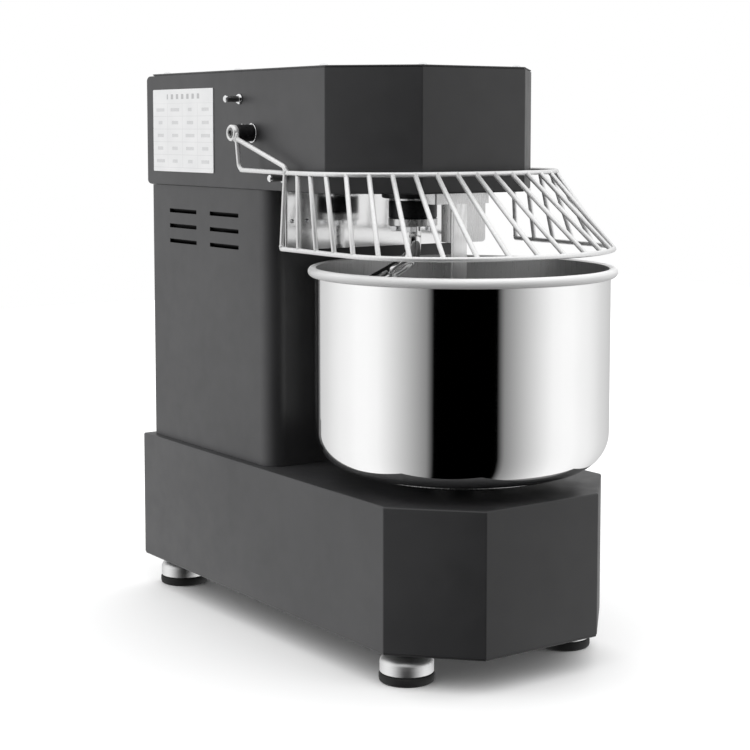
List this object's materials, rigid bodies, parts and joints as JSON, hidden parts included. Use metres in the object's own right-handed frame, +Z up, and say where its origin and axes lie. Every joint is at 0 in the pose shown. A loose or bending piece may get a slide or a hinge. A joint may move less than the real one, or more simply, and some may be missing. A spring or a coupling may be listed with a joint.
{
  "type": "spiral dough mixer",
  "caption": "Bench spiral dough mixer: painted base, column and head, a driven stainless bowl, a coupled spiral hook, a fixed divider bar and a wire guard that swings up in front.",
  "frame": {"origin": "centre of the footprint box, on the ground under the feet", "axes": "+X to the right of a user standing in front, +Y towards the rear, -Y towards the bowl and the user, +Z up"},
  "size_m": [0.388, 0.7185, 0.7301],
  "materials": {
    "black_paint": "satin black powder coat",
    "stainless": "mirror polished stainless steel",
    "brushed_steel": "brushed stainless steel",
    "wire": "electropolished stainless wire",
    "chrome": "bright chrome plate",
    "steel": "machined steel",
    "iron": "painted cast iron",
    "black_plastic": "moulded black plastic",
    "rubber": "matt black rubber",
    "label": "printed foil with plain ruled cells",
    "green_button": "glossy green",
    "red_button": "glossy red"
  },
  "bodies": {
    "frame": {"base_housing": "black_paint", "base_bottom_plate": "black_paint", "column_housing": "black_paint", "column_rear_cover": "black_paint", "head_housing": "black_paint", "head_top_cover": "black_paint", "head_rear_strip": "black_paint", "splash_cover": "brushed_steel", "spec_label": "label", "hinge_washer_left": "chrome", "hinge_washer_right": "chrome", "stop_pin_low_left": "chrome", "stop_pin_low_right": "chrome", "stop_pin_high_left": "chrome", "stop_pin_high_right": "chrome", "guard_switch": "black_plastic", "foot_pad_front_left": "rubber", "foot_pad_front_right": "rubber", "foot_pad_rear_left": "rubber", "foot_pad_rear_right": "rubber", "foot_cup_front_left": "chrome", "foot_cup_front_right": "chrome", "foot_cup_rear_left": "chrome", "foot_cup_rear_right": "chrome", "bowl_bearing": "iron", "bowl_chain": "steel", "lower_chain": "steel", "head_chain": "steel", "motor_body": "iron", "motor_plate": "steel", "drive_belt": "rubber", "spindle_bearing": "iron", "divider_socket": "brushed_steel", "divider_bar": "brushed_steel", "cable_gland": "black_plastic", "switch_plate": "black_plastic"},
    "bowl_drive": {"bowl": "stainless", "bowl_turntable": "brushed_steel", "bowl_sprocket": "steel"},
    "idler": {"idler_shaft": "steel", "idler_sprocket_large": "steel", "idler_sprocket_small": "steel"},
    "countershaft_set": {"countershaft": "steel", "countershaft_sprocket_low": "steel", "countershaft_sprocket_top": "steel", "countershaft_pulley": "iron"},
    "motor_rotor": {"motor_shaft": "steel", "motor_pulley": "iron"},
    "spiral": {"spindle_shaft": "steel", "spindle_sprocket": "steel", "spiral_hub": "black_plastic", "spiral_hook": "stainless"},
    "guard": {"guard_cage": "wire", "guard_shaft": "steel", "guard_hub_left": "black_plastic", "guard_hub_right": "black_plastic", "guard_cam": "steel"},
    "start_key": {"start_button": "green_button"},
    "stop_key": {"stop_button": "red_button"}
  },
  "joints": [
    {"name": "bowl_spin", "type": "hinge", "parent": "frame", "child": "bowl_drive", "pos_m": [0, -0.1676, 0.23], "axis": [0, 0, 1], "continuous": true},
    {"name": "idler_spin", "type": "hinge", "parent": "frame", "child": "idler", "pos_m": [0.059, -0.015, 0.1], "axis": [0, 0, 1], "continuous": true},
    {"name": "countershaft_spin", "type": "hinge", "parent": "frame", "child": "countershaft_set", "pos_m": [0, 0.0996, 0.4], "axis": [0, 0, 1], "continuous": true},
    {"name": "motor_spin", "type": "hinge", "parent": "frame", "child": "motor_rotor", "pos_m": [0, 0.2496, 0.6], "axis": [0, 0, 1], "continuous": true},
    {"name": "spiral_spin", "type": "hinge", "parent": "frame", "child": "spiral", "pos_m": [0, -0.0644, 0.55], "axis": [0, 0, 1], "continuous": true},
    {"name": "guard_hinge", "type": "hinge", "parent": "frame", "child": "guard", "pos_m": [0, 0.0642, 0.6486], "axis": [-1, 0, 0], "range_deg": [0, 138]},
    {"name": "start_press", "type": "slide", "parent": "frame", "child": "start_key", "axis": [-1, 0, 0], "range_m": [0, 0.003], "stiffness_N_per_m": 600},
    {"name": "stop_press", "type": "slide", "parent": "frame", "child": "stop_key", "axis": [-1, 0, 0], "range_m": [0, 0.003], "stiffness_N_per_m": 600}
  ],
  "couplings": [
    {"joint": "idler_spin", "follows": "bowl_spin", "ratio": 6},
    {"joint": "countershaft_spin", "follows": "bowl_spin", "ratio": 24},
    {"joint": "motor_spin", "follows": "bowl_spin", "ratio": 72},
    {"joint": "spiral_spin", "follows": "bowl_spin", "ratio": 10}
  ]
}
